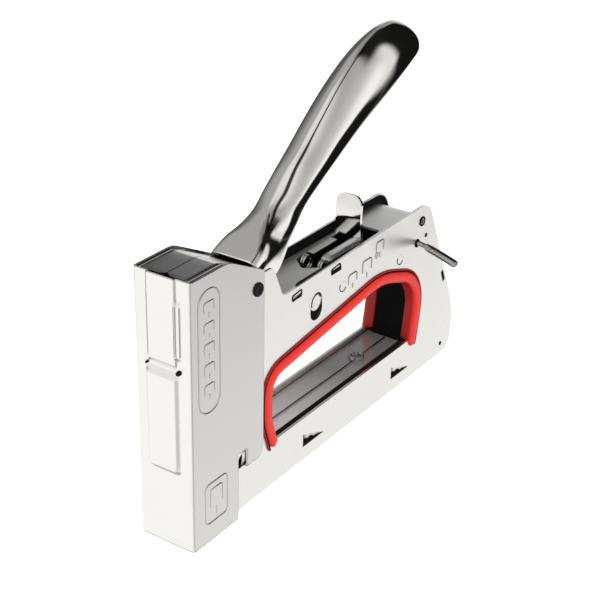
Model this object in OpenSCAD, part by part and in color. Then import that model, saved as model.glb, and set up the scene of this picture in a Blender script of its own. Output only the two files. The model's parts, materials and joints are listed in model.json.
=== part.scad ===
// Hand staple gun: sheet-steel housing, finger opening with soft trims, chromed top handle,
// spring hammer in the nose and a magazine that slides out of the rear.
// Every outline is laid out from the front face of the nose: x runs rearward, z is up and
// y = 0 is the middle plane. from_front() then moves a piece into the part's own frame,
// whose origin is the centre of the flat foot under the nose.

/* [Body] */
// Overall width across the nose cover
body_w = 25; // [24:0.5:26]
// Length from the front face to the rear edge of the side plates
body_len = 191.4; // [190:0.2:193]
// Height of the nose
nose_h = 108.5; // [108:0.1:109]
// Height of the top edge of the side plates behind the notch
plate_top = 84; // [83.6:0.1:84.4]
// Thickness of the side plates
plate_t = 1.2; // [1:0.1:1.3]
// Thickness of the nose cover sheet
cover_t = 0.8; // [0.7:0.05:0.9]

/* [Finger opening] */
// Height of the lower edge of the opening
opening_floor = 22.3; // [22:0.1:22.6]
// Width of the soft lip seen from the side
lip_w = 5.5; // [5:0.1:6]
// How far the soft lip stands out of the side plate
lip_proud = 1.3; // [1:0.1:1.6]

/* [Handle] */
// Height of the handle pivot
pivot_z = 91.8; // [91.6:0.1:92]
// Half width of the handle at its fork end
fork_half = 10.1; // [10:0.05:10.2]
// Half width of the handle at its neck
neck_half = 8.2; // [8:0.1:8.6]
// Half width of the handle at the palm
palm_half = 10.6; // [10:0.1:11]
// Sheet thickness of the handle
handle_t = 1.3; // [1.1:0.1:1.4]

/* [Drive] */
// Length of the lifting arms from the pivot to their rounded ends
arm_len = 25; // [24.8:0.1:25.2]
// Slope of the lifting arms below the level at rest
arm_slope = 25; // [24:0.5:26]
// Radius of the rollers on the hammer
roller_r = 3; // [2.9:0.05:3]
// Wire diameter of the drive spring
drive_wire = 2; // [1.8:0.1:2.1]

/* [Magazine] */
// Length of the staple strip
strip_len = 56; // [20:1:56]
// Width of the staple crown
crown_w = 10.6; // [10.4:0.1:10.6]

/* [Hidden] */
$fn = 48;

half_w = body_w / 2;              // outside of the nose cover
plate_out = half_w - cover_t;     // outside of the side plates
plate_in = plate_out - plate_t;   // inside of the side plates
seam_x = 42.3;                    // rear edge of the nose cover
foot_len = 26.7;                  // length of the nose at its foot
foot_x = foot_len / 2;            // the part's origin
skirt_z = 3.4;                    // lower edge of the side plates
strap_top = 80.5;                 // top of the strap between the plates
sheet = 1;                        // sheet of the strap
fit = 0.05;                       // radial clearance of running fits
pivot_x = 38.3;
bolt_r = 2.5;
latch_x = 121;                    // latch hinge
latch_z = 74.6;
latch_pin_r = 1.5;
lever_x = 154.2;                  // release lever hinge
lever_z = 68.2;
lever_r = 1.1;
slot_x = 77.5;                    // upright slot of the cross pin
slot_z = 70.9;
slot_r = 4;
slot_drop = 3.6;
studs = [[96.2, 70.4], [140.5, 65.6]];
stud_r = 2.2;
rivet_at = [157.6, 77.1];
rivet_r = 1.5;
small_rivet_at = [[161.7, 69.3], [182, 8]];
small_rivet_r = 1;
hammer_half = 6.6;
hammer_low = 44;
hammer_high = 90;
bore_r = 5.8;                     // spring well in the hammer
bore_low = 60;
arm_in = 7.7;                     // lifting arms lie between these two distances from y = 0
arm_out = 9;
arm_end_r = 3;
arm_end = [pivot_x - arm_len * cos(arm_slope), pivot_z - arm_len * sin(arm_slope)];
roller_at = [14.5, arm_end[1] + arm_end_r + roller_r + 0.5];
roller_pin_r = 1.5;
cap_z = 104;                      // upper seat of the drive spring
knee_x = 20;                      // the nose's top slopes down behind this point
plate_crown = 104.8;              // top of the side plates inside the nose
flap_top = 107;                   // top of the flaps
flat_half = 9.6;                  // half width of the flaps' flat top
lip_lap = 1.5;                    // how far the soft lip overlaps the side plate
wall_t = 1.8;                     // thickness of the soft wall inside the opening
liner_half = 7.2;                 // half width of the black liner that shows between the trims
floor_top = 20;                   // top of the magazine cover
channel_low = 3.4;
rail_top = 13.2;
rod_z = 8.3;
rod_r = 1.2;
strip_start = 3.4;
pusher_start = strip_start + strip_len + 0.2;
pusher_len = 14;
mag_end = 184.5;

// ---- helpers ----

module from_front() translate([-foot_x, 0, 0]) children();

// An outline drawn in x and z, made into a sheet that fills y0 to y1
module sheet_xz(y0, y1) translate([0, y1, 0]) rotate([90, 0, 0]) linear_extrude(y1 - y0) children();

// The same sheet on both sides of the middle plane
module both_sheets(y0, y1) {
    sheet_xz(y0, y1) children();
    sheet_xz(-y1, -y0) children();
}

// A bar from y0 to y1 around the point [x, z]
module bar_y(at, r, y0, y1) translate([at[0], y0, at[1]]) rotate([-90, 0, 0]) cylinder(r = r, h = y1 - y0);

module block(low, high) translate(low) cube(high - low);

function unit(v) = v / norm(v);

// Points that round the corner b, between a and c, to radius r
function corner_arc(a, b, c, r, n) =
    r <= 0 ? [b] :
    let (
        u = unit(a - b),
        v = unit(c - b),
        half = acos(u * v) / 2,
        centre = b + unit(u + v) * r / sin(half),
        p = b + u * r / tan(half) - centre,
        q = b + v * r / tan(half) - centre,
        start = atan2(p[1], p[0]),
        turn = atan2(q[1], q[0]) - start,
        sweep = turn > 180 ? turn - 360 : turn < -180 ? turn + 360 : turn
    )
    [for (i = [0:n]) centre + r * [cos(start + sweep * i / n), sin(start + sweep * i / n)]];

function flat(p) = [p[0], p[1]];

// Outline through corners [x, z, r], each rounded to its radius r
function rounded(corners, n = 8) =
    let (m = len(corners))
    [for (i = [0:m - 1])
        each corner_arc(flat(corners[(i + m - 1) % m]), flat(corners[i]), flat(corners[(i + 1) % m]),
                        corners[i][2], n)];

// Helix of round wire around z: mean radius r, wire diameter d, n turns over height h
module coil(r, d, h, turns, steps = 14, sides = 8) {
    rings = round(turns * steps);
    points = [for (i = [0:rings], k = [0:sides - 1])
        let (a = 360 * i / steps, b = 360 * k / sides, out = r + d / 2 * cos(b))
        [out * cos(a), out * sin(a), d / 2 + (h - d) * i / rings + d / 2 * sin(b)]];
    walls = [for (i = [0:rings - 1], k = [0:sides - 1])
        let (a = i * sides + k, b = i * sides + (k + 1) % sides)
        each [[a, b + sides, a + sides], [a, b, b + sides]]];
    ends = [[for (k = [sides - 1:-1:0]) k], [for (k = [0:sides - 1]) rings * sides + k]];
    polyhedron(points, concat(walls, ends), convexity = 10);
}

// Straight link between two points, of radius ra at a and rb at b
module link(a, b, ra, rb) {
    side = [-(b - a)[1], (b - a)[0]] / norm(b - a);
    translate(a) circle(ra);
    translate(b) circle(rb);
    polygon([a + side * ra, b + side * rb, b - side * rb, a - side * ra]);
}

// Upright slot whose round ends have radius r, from the point at, down by drop
module upright_slot(at, r, drop) {
    translate(at) circle(r);
    translate([at[0], at[1] - drop]) circle(r);
    translate([at[0] - r, at[1] - drop]) square([2 * r, drop]);
}

// ---- outlines ----

// Edge of the finger opening, grown outward by g and cut off at the height low
function opening_outline(g, low) = rounded([
    [46.4 - g, low, 0.5], [42.6 - g, 32.7, 24 + g], [42.6 - g, 55.2 + g, 12.5 + g],
    [125.9 + 0.1 * g, 65.8 + g, 44 + g], [162.6 + 1.12 * g, 53.1 + 0.67 * g, 21.5 + g],
    [157.2 + g, low, 0.5]
], 10);

function plate_outline() = rounded([
    [1, skirt_z, 0.5], [1, plate_crown, 0], [knee_x, plate_crown, 0], [36.5, 96.4, 0], [48.6, 96.4, 3],
    [55.2, plate_top, 3], [163.4, plate_top, 10], [189.2, 28.4, 14], [body_len + 0.2, 18, 8],
    [body_len - 0.9, skirt_z, 6]
]);

function cheek_outline() = rounded([
    [0, 0, 0], [0, nose_h, 0.5], [21.4, nose_h, 3], [seam_x, 98, 1], [seam_x, 20.8, 4],
    [foot_len, 20.8, 0.8], [foot_len, 0, 1]
]);

function strap_path(inset) = [
    [46, strap_top - inset], [160.8 - 0.6 * inset, strap_top - inset, 11 - inset],
    [185.4 - 1.1 * inset, 28]
];

function handle_outline(inset, open) = rounded([
    [39.8 + inset, 100 - 0.7 * inset, 0], [63.4, 113.2 - inset, 30],
    [124.3 - 0.3 * inset, 163.7 - inset, 58], [153 - inset, 163.7 - inset, 6 - inset],
    [152.5 - inset, 153.6 - open, 2], [125, 142.3 - open, 40], [88, 122.3 - open, 40],
    [66, 105 - open, 20], [55, 94.5 - open, 3], [42 + inset, 96.2 - open, 0]
]);

// Half of the handle's plan, widened by g
function handle_plan(g) = [
    [36, fork_half + g], [50, fork_half + g], [57, neck_half + g + 0.2], [64, neck_half + g],
    [80, neck_half + g + 0.5], [100, palm_half + g - 0.6], [122, palm_half + g],
    [138, palm_half + g - 0.8], [148, palm_half + g - 3], [154, palm_half + g - 7]
];

module handle_solid(inset, open) intersection() {
    sheet_xz(-half_w, half_w) polygon(handle_outline(inset, open));
    linear_extrude(200) polygon(concat(
        handle_plan(-inset),
        [for (i = [len(handle_plan(0)) - 1:-1:0])
            [handle_plan(-inset)[i][0], -handle_plan(-inset)[i][1]]]
    ));
}

// ---- housing ----

module side_plate(side) from_front() {
    y0 = side < 0 ? -plate_out : plate_in;
    y1 = side < 0 ? -plate_in : plate_out;
    difference() {
        sheet_xz(y0, y1) difference() {
            polygon(plate_outline());
            polygon(opening_outline(-lip_lap, opening_floor));
            upright_slot([slot_x, slot_z], slot_r, slot_drop);
            translate([61, 77.4]) square([6.4, 1.8]);
            translate([87.4, 78.2]) square([7.2, 2]);
            translate([180, 43.1]) rotate(-66) square([6, 2], center = true);
            for (x = [70.5, 138]) polygon([[x, 9], [x + 15, 9], [x + 9, 11.5], [x, 15]]);
            polygon(rounded([[27.6, 21.4, 0.5], [27.6, 27, 2.5], [32.6, 27, 2.5], [32.6, 21.4, 0.5]], 4));
        }
        bar_y([pivot_x, pivot_z], bolt_r, y0 - 1, y1 + 1);
        for (s = studs) bar_y(s, stud_r, y0 - 1, y1 + 1);
        bar_y([latch_x, latch_z], latch_pin_r, y0 - 1, y1 + 1);
        bar_y([lever_x, lever_z], lever_r + 0.4, y0 - 1, y1 + 1);
        bar_y(rivet_at, rivet_r, y0 - 1, y1 + 1);
        for (p = small_rivet_at) bar_y(p, small_rivet_r, y0 - 1, y1 + 1);
    }
}

module side_plate_left() color("gainsboro") side_plate(-1);

module side_plate_right() color("gainsboro") side_plate(1);

// Side view of a flap: level in front, then sloping down to the rear
module flap_band(top, low) polygon([
    [2, flap_top - top], [knee_x + 1, flap_top - top], [36, 99.3 - top],
    [36, 99.3 - low], [knee_x + 1, flap_top - low], [2, flap_top - low]
]);

// Flap that closes half of the nose's top, with its outer edge turned down
module top_flap() from_front() {
    sheet_xz(0.15, flat_half) flap_band(0, 1.2);
    sheet_xz(flat_half, flat_half + 1) flap_band(0.3, 1.6);
    sheet_xz(flat_half + 1, flat_half + 1.9) flap_band(0.9, 2);
}

module top_flap_right() color("dimgray") top_flap();

module top_flap_left() color("dimgray") mirror([0, 1, 0]) top_flap();

module nose_cover() color("lightgray") from_front() {
    difference() {
        both_sheets(plate_out, half_w) polygon(cheek_outline());
        bar_y([pivot_x, pivot_z], bolt_r, -body_w, body_w);
    }
    // front wall with the slits beside its upper tongue
    difference() {
        block([0, -plate_out, 0], [cover_t, plate_out, nose_h]);
        for (s = [-1, 1]) block([-1, s * 6.4 - 0.4, 77], [2, s * 6.4 + 0.4, nose_h + 1]);
        for (s = [-1, 1]) bar_x_hole([s * 6.8, 73.2]);
    }
    raised_panel(31, 71.5);
    raised_panel(75, nose_h);
}

module bar_x_hole(at) translate([-2, at[0], at[1]]) rotate([0, 90, 0]) cylinder(r = 1.2, h = 4);

// Bevelled panel standing proud of the front wall between two heights
module raised_panel(low, high) translate([0, 0, low]) linear_extrude(high - low)
    polygon([[0, -6], [-1.6, -4.9], [-1.6, 4.9], [0, 6]]);

module top_strap() color("darkgray") from_front() difference() {
    union() {
        sheet_xz(-plate_in + 0.1, plate_in - 0.1) polygon(concat(
            corner_band(0), [for (p = reversed(corner_band(sheet))) p]
        ));
        // rolled bead beside the slot
        translate([98, -8.4, strap_top - 0.3]) rotate([0, 90, 0]) cylinder(r = 1.6, h = 19);
        // tabs that hook into the side plates
        for (s = [-1, 1], x = [61.4, 87.8])
            block([x, s > 0 ? plate_in - 0.1 : -plate_out + 0.2, x < 80 ? 77.7 : 78.5],
                  [x + 5.6, s > 0 ? plate_out - 0.2 : -plate_in + 0.1, x < 80 ? 78.9 : 79.9]);
        for (s = [-1, 1], x = [61.4, 87.8])
            block([x, s > 0 ? plate_in - 2.1 : -plate_in + 0.1, x < 80 ? 77.7 : 78.5],
                  [x + 5.6, s > 0 ? plate_in - 0.1 : -plate_in + 2.1, 79.6]);
    }
    linear_extrude(200) polygon(rounded([
        [84, 0, 2], [90, 6.5, 3], [132, 6.5, 2], [132, -6.5, 2], [90, -6.5, 3]
    ]));
}

function reversed(list) = [for (i = [len(list) - 1:-1:0]) list[i]];

// Upper or lower face of the strap: along the top, around the rear corner and down the back
function corner_band(inset) =
    let (p = strap_path(inset))
    concat([p[0]], corner_arc(p[0], flat(p[1]), p[2], 11 - inset, 12), [p[2]]);

module nose_foot() color("silver") from_front() {
    block([strip_start + 0.2, -plate_in + 0.05, 0], [foot_len - 1, plate_in - 0.05, skirt_z - 0.3]);
}

module driver_guide() color("silver") from_front()
    block([1, -plate_in + 0.1, 0.6], [2, plate_in - 0.1, cap_z]);

// Black strip between the side plates that backs both trims
module grip_liner() color("black") from_front() {
    sheet_xz(-plate_in + 0.1, plate_in - 0.1) difference() {
        polygon(opening_outline(-lip_lap - 0.2, floor_top + 0.5));
        polygon(opening_outline(-lip_w + wall_t, floor_top - 1));
    }
    sheet_xz(-liner_half, liner_half) difference() {
        polygon(opening_outline(-lip_w + wall_t, floor_top + 0.5));
        polygon(opening_outline(-lip_w + 0.4, floor_top - 1));
    }
}

// Soft trim: a lip on the outside of the side plate and a wall that lines the opening
module grip_trim(side) from_front() {
    lip_out = plate_out + lip_proud;
    sheet_xz(side < 0 ? -lip_out : plate_out, side < 0 ? -plate_out : lip_out) difference() {
        polygon(opening_outline(0, 18.6));
        polygon(opening_outline(-lip_w, 18));
    }
    sheet_xz(side < 0 ? -plate_out : liner_half, side < 0 ? -liner_half : plate_out) difference() {
        polygon(opening_outline(-lip_w + wall_t, opening_floor + 0.1));
        polygon(opening_outline(-lip_w, floor_top - 1));
    }
}

module grip_trim_left() color("red") grip_trim(-1);

module grip_trim_right() color("red") grip_trim(1);

module magazine_cover() color("dimgray") from_front() difference() {
    block([27, -10.2, 5], [186, 10.2, floor_top]);
    block([26, -9.4, 4], [187, 9.4, floor_top - 0.8]);
}

module pivot_bolt() color("black") from_front() {
    bar_y([pivot_x, pivot_z], bolt_r, -half_w, half_w);
    bar_y([pivot_x, pivot_z], 3.2, -half_w - 1.1, -half_w);
}

module pivot_nut() color("black") from_front() difference() {
    translate([pivot_x, half_w, pivot_z]) rotate([-90, 0, 0]) cylinder(r = 3.6, h = 1.2, $fn = 6);
    bar_y([pivot_x, pivot_z], bolt_r, half_w - 1, half_w + 3);
}

module frame_studs() color("silver") from_front()
    for (s = studs) bar_y(s, stud_r, -plate_out, plate_out);

module hollow_rivet() color("silver") from_front() difference() {
    for (s = [-1, 1])
        bar_y(rivet_at, rivet_r, s < 0 ? -plate_out - 0.2 : plate_in, s < 0 ? -plate_in : plate_out + 0.2);
    bar_y(rivet_at, 0.8, -half_w, half_w);
}

module small_rivets() color("silver") from_front()
    for (p = small_rivet_at, s = [-1, 1])
        bar_y(p, small_rivet_r, s < 0 ? -plate_out - 0.2 : plate_in, s < 0 ? -plate_in : plate_out + 0.2);

module shock_plate() color("silver") from_front()
    block([3.3, -plate_in + 0.1, 35], [foot_len, plate_in - 0.1, 37]);

module bumper() color("dimgray") from_front()
    sheet_xz(-8, 8) polygon(rounded([[5, 37, 0], [5, hammer_low - 0.3, 1], [23, hammer_low - 0.3, 1],
                                     [23, 37, 0]], 4));

module spring_cap() color("silver") from_front() {
    block([4, -9, cap_z], [22, 9, cap_z + 0.9]);
    translate([14, 0, cap_z - 3]) cylinder(r = 3, h = 3);
}

module drive_spring() color("dimgray") from_front()
    translate([14, 0, bore_low + 0.1]) coil(4.6, drive_wire, cap_z - bore_low - 0.2, 9);

// Wire along the opening's floor with an upright coil in it
module retainer_spring() color("dimgray") from_front() {
    wire_r = 0.65;
    wire_z = floor_top + wire_r + 0.1;
    for (span = [[54, 124.7], [131.3, 149]]) translate([span[0], 0, wire_z]) rotate([0, 90, 0])
        cylinder(r = wire_r, h = span[1] - span[0]);
    translate([128, 0, floor_top + 0.1]) coil(3.2, 2 * wire_r, 4.8, 2.5);
}

module latch_spring() color("silver") from_front()
    for (y = [-5.6, 2.6]) translate([93.4, y, 77.4]) rotate([-90, 0, 0]) coil(2.9, 0.9, 3.1, 2);

module latch_pin() color("silver") from_front()
    bar_y([latch_x, latch_z], latch_pin_r, -plate_out, plate_out);

// ---- handle ----

module handle_shell() color("lightgray") from_front() difference() {
    handle_solid(0, 0);
    handle_solid(handle_t, 20);
}

// Fork inside the handle: two cheeks with the pivot bore, the lifting arms and a cross web
module handle_lever() color("silver") from_front() {
    difference() {
        both_sheets(arm_in, min(arm_out, fork_half - handle_t)) {
            link(arm_end, [pivot_x, pivot_z], arm_end_r, 5.2);
            link([pivot_x, pivot_z], [46.8, 97.6], 5.2, 3);
        }
        bar_y([pivot_x, pivot_z], bolt_r + fit, -half_w, half_w);
    }
    block([45, -arm_in, 96.9], [48, arm_in, 98.5]);
}

// ---- hammer ----

module hammer() color("dimgray") from_front() {
    difference() {
        block([6, -hammer_half, hammer_low], [22, hammer_half, hammer_high]);
        translate([14, 0, bore_low]) cylinder(r = bore_r, h = 60);
    }
    block([3, -4, 50], [6, 4, 84]);
    for (s = [-1, 1])
        bar_y(roller_at, roller_pin_r, s < 0 ? -arm_out - 0.3 : hammer_half, s < 0 ? -hammer_half : arm_out + 0.3);
}

module driver_blade() color("silver") from_front()
    block([2.1, -crown_w / 2, 0.8], [3, crown_w / 2, 86]);

module lift_rollers() color("silver") from_front() difference() {
    for (s = [-1, 1])
        bar_y(roller_at, roller_r, s < 0 ? -arm_out : arm_in, s < 0 ? -arm_in : arm_out);
    bar_y(roller_at, roller_pin_r + fit, -half_w, half_w);
}

// ---- cross pin and latch ----

module slot_pin() color("silver") from_front()
    bar_y([slot_x, slot_z], slot_r - 0.25, -plate_out + 0.3, plate_out - 0.3);

module slot_pin_washers() color("silver") from_front()
    for (s = [-1, 1]) difference() {
        bar_y([slot_x, slot_z], 4.8, s < 0 ? -plate_in + 0.2 : plate_in - 1, s < 0 ? -plate_in + 1 : plate_in - 0.2);
        bar_y([slot_x, slot_z], slot_r - 0.25, -half_w, half_w);
    }

// Bent plate that stands up through the strap and locks the closed handle
module lock_latch() color("silver") from_front() {
    intersection() {
        sheet_xz(-6, 6) polygon(rounded([
            [118, 76, 0], [116.4, 90, 10], [117.2, 99.6, 0], [118.4, 99.6, 0], [117.8, 90, 10],
            [120.5, 76, 0]
        ]));
        translate([100, 0, 0]) rotate([90, 0, 90]) linear_extrude(40)
            polygon(rounded([[-6, 70, 0], [-6, 99.6, 4], [6, 99.6, 4], [6, 70, 0]]));
    }
    difference() {
        union() {
            bar_y([latch_x, latch_z], 3.2, -6, 6);
            block([118, -6, 73.5], [121, 6, 77.6]);
        }
        bar_y([latch_x, latch_z], latch_pin_r + fit, -half_w, half_w);
    }
}

// ---- magazine ----

module magazine_channel() color("silver") from_front() difference() {
    block([foot_len - 0.7, -7.4, channel_low], [mag_end, 7.4, 17]);
    block([0, -6.6, channel_low + 0.8], [mag_end + 1, 6.6, 18]);
}

module magazine_rail() color("silver") from_front() {
    difference() {
        block([4.4, -4.4, channel_low], [mag_end, 4.4, rail_top]);
        block([4, -3.6, channel_low - 1], [mag_end + 1, 3.6, rail_top - 0.8]);
        block([pusher_start, -1.2, rail_top - 2], [mag_end - 4, 1.2, rail_top + 1]);
        block([foot_len - 0.7, -5, channel_low - 1], [mag_end + 1, 5, channel_low + 0.8]);
    }
    // plug that holds the front end of the guide rod
    difference() {
        block([5, -3.6, channel_low + 0.2], [9, 3.6, rail_top - 0.8]);
        translate([0, 0, rod_z]) rotate([0, 90, 0]) cylinder(r = rod_r, h = 20);
    }
}

module magazine_end_cap() color("dimgray") from_front() difference() {
    block([mag_end, -9.1, channel_low + 0.2], [mag_end + 3.6, 9.1, floor_top - 1]);
    translate([0, 0, rod_z]) rotate([0, 90, 0]) cylinder(r = rod_r, h = 200);
}

module guide_rod() color("silver") from_front()
    translate([5, 0, rod_z]) rotate([0, 90, 0]) cylinder(r = rod_r, h = mag_end + 3.6 - 5);

module staple_strip() color("goldenrod") from_front() difference() {
    block([strip_start, -crown_w / 2, 6], [strip_start + strip_len, crown_w / 2, rail_top + 0.8]);
    block([0, -crown_w / 2 + 0.6, 5], [strip_start + strip_len + 1, crown_w / 2 - 0.6, rail_top + 0.15]);
}

module pusher() color("silver") from_front() {
    difference() {
        block([pusher_start, -crown_w / 2 - 0.3, 6], [pusher_start + pusher_len, crown_w / 2 + 0.3, 15.6]);
        block([0, -crown_w / 2 + 0.6, 5], [200, crown_w / 2 - 0.6, rail_top + 0.15]);
    }
    difference() {
        union() {
            block([pusher_start + 1, -0.9, rod_z + 2], [pusher_start + 9, 0.9, 14.6]);
            translate([pusher_start + 1, 0, rod_z]) rotate([0, 90, 0]) cylinder(r = 2.9, h = 8);
        }
        translate([0, 0, rod_z]) rotate([0, 90, 0]) cylinder(r = rod_r + fit, h = 200);
    }
}

module pusher_spring() color("silver") from_front()
    translate([pusher_start + 9.2, 0, rod_z]) rotate([0, 90, 0])
        coil(2.1, 0.7, mag_end - pusher_start - 9.4, 26, 12, 6);

// Wire lever that frees the magazine: an axle through the left plate with a bent outer arm
module magazine_release_lever() color("silver") from_front() {
    bar_y([lever_x, lever_z], lever_r, -plate_out - 2, 8);
    rotate_about([lever_x, -plate_out - 2, lever_z], [-17, 0, -8]) {
        rotate([90, 0, 0]) cylinder(r = 1.7, h = 15.5);
        translate([0, -15.5, 0]) sphere(1.7);
        sphere(1.7);
    }
    // inner crank
    sheet_xz(5, 7) link([lever_x, lever_z], [lever_x + 5, lever_z + 2], 2.2, 1.4);
}

module rotate_about(point, angles) translate(point) rotate(angles) children();

side_plate_left();
side_plate_right();
nose_cover();
top_strap();
nose_foot();
top_flap_left();
top_flap_right();
grip_liner();
grip_trim_left();
grip_trim_right();
magazine_cover();
driver_guide();
pivot_bolt();
pivot_nut();
frame_studs();
hollow_rivet();
small_rivets();
shock_plate();
bumper();
spring_cap();
drive_spring();
retainer_spring();
latch_spring();
latch_pin();
handle_shell();
handle_lever();
hammer();
driver_blade();
lift_rollers();
slot_pin();
slot_pin_washers();
lock_latch();
magazine_channel();
magazine_rail();
magazine_end_cap();
guide_rod();
staple_strip();
pusher();
pusher_spring();
magazine_release_lever();
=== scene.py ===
# Looks of the hand staple gun. Lengths in the helpers are millimetres; x counts rearward
# from the front face of the nose, y = 0 is the middle plane and z is up.
import json
import math

import bmesh
import bpy
import numpy as np
from mathutils import Matrix, Vector
from mathutils.geometry import tessellate_polygon

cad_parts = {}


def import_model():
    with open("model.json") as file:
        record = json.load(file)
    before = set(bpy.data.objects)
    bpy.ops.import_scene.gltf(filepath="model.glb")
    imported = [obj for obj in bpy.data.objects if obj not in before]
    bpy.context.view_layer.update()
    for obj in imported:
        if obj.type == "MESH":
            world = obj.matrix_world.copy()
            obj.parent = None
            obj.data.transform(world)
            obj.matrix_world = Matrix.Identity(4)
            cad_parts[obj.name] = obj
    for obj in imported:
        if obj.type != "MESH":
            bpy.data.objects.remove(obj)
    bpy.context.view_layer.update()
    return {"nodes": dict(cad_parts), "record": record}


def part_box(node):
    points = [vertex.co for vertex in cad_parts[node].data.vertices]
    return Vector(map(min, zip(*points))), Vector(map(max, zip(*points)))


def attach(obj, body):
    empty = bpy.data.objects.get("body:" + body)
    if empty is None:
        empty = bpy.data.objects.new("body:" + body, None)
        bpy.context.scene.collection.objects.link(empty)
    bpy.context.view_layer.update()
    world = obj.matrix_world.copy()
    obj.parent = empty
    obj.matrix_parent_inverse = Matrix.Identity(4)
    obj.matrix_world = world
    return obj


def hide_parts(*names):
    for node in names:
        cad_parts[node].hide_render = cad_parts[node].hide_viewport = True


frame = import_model()
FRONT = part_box("driver_guide")[0].x * 1000 - 1
NEAR = -1
FAR = 1
SIDES = ((NEAR, "left"), (FAR, "right"))


def front_mm(x, y, z):
    return ((x + FRONT) / 1000, y / 1000, z / 1000)


# ---------------------------------------------------------------- materials

def node(tree, kind, **values):
    n = tree.nodes.new(kind)
    for key, value in values.items():
        setattr(n, key, value)
    return n


def new_material(name, colour, rough, metallic=0.0, colour_spread=0.08, rough_spread=0.06,
                 grain=900.0, stretch=(1, 1, 1), bump=0.02, blotch=45.0, ramp=None, wave=0.0):
    """Surface whose colour, roughness and relief all come from layered noise in object space.
    The spreads are how far the noise moves colour and roughness; grain and blotch are the fine and
    large noise scales, stretch draws the grain out along an axis, ramp is (axis, dim end in metres,
    bright end in metres, dim factor) and wave is the strength of a slow sway of the surface."""
    m = bpy.data.materials.new(name)
    m.use_nodes = True
    m.diffuse_color = (*colour, 1)
    t = m.node_tree
    shader = t.nodes["Principled BSDF"]
    shader.inputs["Metallic"].default_value = metallic
    if metallic == 0:
        shader.inputs["Specular IOR Level"].default_value = 0.3
    coordinates = node(t, "ShaderNodeTexCoord")
    stretch_it = node(t, "ShaderNodeMapping")
    stretch_it.inputs["Scale"].default_value = stretch
    t.links.new(coordinates.outputs["Object"], stretch_it.inputs["Vector"])
    large = node(t, "ShaderNodeTexNoise")
    large.inputs["Scale"].default_value = blotch
    large.inputs["Detail"].default_value = 2
    t.links.new(coordinates.outputs["Object"], large.inputs["Vector"])
    fine = node(t, "ShaderNodeTexNoise")
    fine.inputs["Scale"].default_value = grain
    fine.inputs["Detail"].default_value = 3
    t.links.new(stretch_it.outputs["Vector"], fine.inputs["Vector"])
    both = node(t, "ShaderNodeMix", data_type="FLOAT")
    both.inputs[0].default_value = 0.45
    t.links.new(large.outputs["Fac"], both.inputs[2])
    t.links.new(fine.outputs["Fac"], both.inputs[3])
    tint = node(t, "ShaderNodeValToRGB")
    low, high = tint.color_ramp.elements
    low.position, high.position = 0.2, 0.8
    low.color = (*[max(c * (1 - colour_spread), 0) for c in colour], 1)
    high.color = (*[min(c * (1 + colour_spread), 1) for c in colour], 1)
    t.links.new(both.outputs[0], tint.inputs["Fac"])
    out_colour = tint.outputs["Color"]
    # painted shade: the ramp dims the colour towards one end along an axis
    if ramp:
        axis, start, end, factor = ramp
        split = node(t, "ShaderNodeSeparateXYZ")
        t.links.new(coordinates.outputs["Object"], split.inputs[0])
        span = node(t, "ShaderNodeMapRange")
        span.inputs["From Min"].default_value = start
        span.inputs["From Max"].default_value = end
        t.links.new(split.outputs[axis], span.inputs["Value"])
        shade = node(t, "ShaderNodeMix", data_type="RGBA", blend_type="MULTIPLY")
        shade.inputs[0].default_value = 1
        light = node(t, "ShaderNodeValToRGB")
        light.color_ramp.elements[0].color = (factor, factor, factor, 1)
        light.color_ramp.elements[1].color = (1, 1, 1, 1)
        t.links.new(span.outputs[0], light.inputs["Fac"])
        t.links.new(out_colour, shade.inputs[6])
        t.links.new(light.outputs["Color"], shade.inputs[7])
        out_colour = shade.outputs[2]
    t.links.new(out_colour, shader.inputs["Base Color"])
    gloss = node(t, "ShaderNodeMapRange")
    gloss.inputs["From Min"].default_value = 0.15
    gloss.inputs["From Max"].default_value = 0.85
    gloss.inputs["To Min"].default_value = max(rough - rough_spread, 0.02)
    gloss.inputs["To Max"].default_value = rough + rough_spread
    t.links.new(large.outputs["Fac"], gloss.inputs["Value"])
    t.links.new(gloss.outputs[0], shader.inputs["Roughness"])
    relief = node(t, "ShaderNodeBump")
    relief.inputs["Strength"].default_value = bump
    relief.inputs["Distance"].default_value = 0.0004
    t.links.new(fine.outputs["Fac"], relief.inputs["Height"])
    last = relief
    if wave:
        sway = node(t, "ShaderNodeTexNoise")
        sway.inputs["Scale"].default_value = 60
        sway.inputs["Detail"].default_value = 1
        t.links.new(coordinates.outputs["Object"], sway.inputs["Vector"])
        last = node(t, "ShaderNodeBump")
        last.inputs["Strength"].default_value = wave
        last.inputs["Distance"].default_value = 0.001
        t.links.new(sway.outputs["Fac"], last.inputs["Height"])
        t.links.new(relief.outputs["Normal"], last.inputs["Normal"])
    t.links.new(last.outputs["Normal"], shader.inputs["Normal"])
    return m


EVEN = (1, 1, 1)
NICKEL = new_material("nickel_plate", (0.86, 0.85, 0.825), 0.30, 1, 0.025, 0.05, 700, EVEN, 0.05, 30)
NOSE = new_material("nose_nickel", (0.93, 0.92, 0.895), 0.24, 1, 0.02, 0.04, 700, EVEN, 0.03, 30)
# painted shade: darker copy of the nose nickel for the cheek faces, dimmer still towards the top
CHEEK_SHADED = new_material("cheek_nickel_painted_shade", (0.70, 0.69, 0.675), 0.26, 1, 0.02, 0.04, 700, EVEN, 0.03, 30,
                     ramp=(2, 0.1085, 0.0, 0.86))
# painted shade: the strap nickel dims towards the front
STRAP = new_material("strap_nickel", (0.88, 0.88, 0.87), 0.34, 1, 0.05, 0.05, 800, (0.15, 1, 1), 0.06, 30,
                     ramp=(0, 0.03, 0.14, 0.55))
# painted shade: dark copy of the plate nickel for the flat tops of the flaps
FLAP = new_material("flap_painted_shade", (0.36, 0.355, 0.36), 0.30, 1, 0.10, 0.06, 800, (0.2, 1, 1), 0.05, 40)
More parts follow.
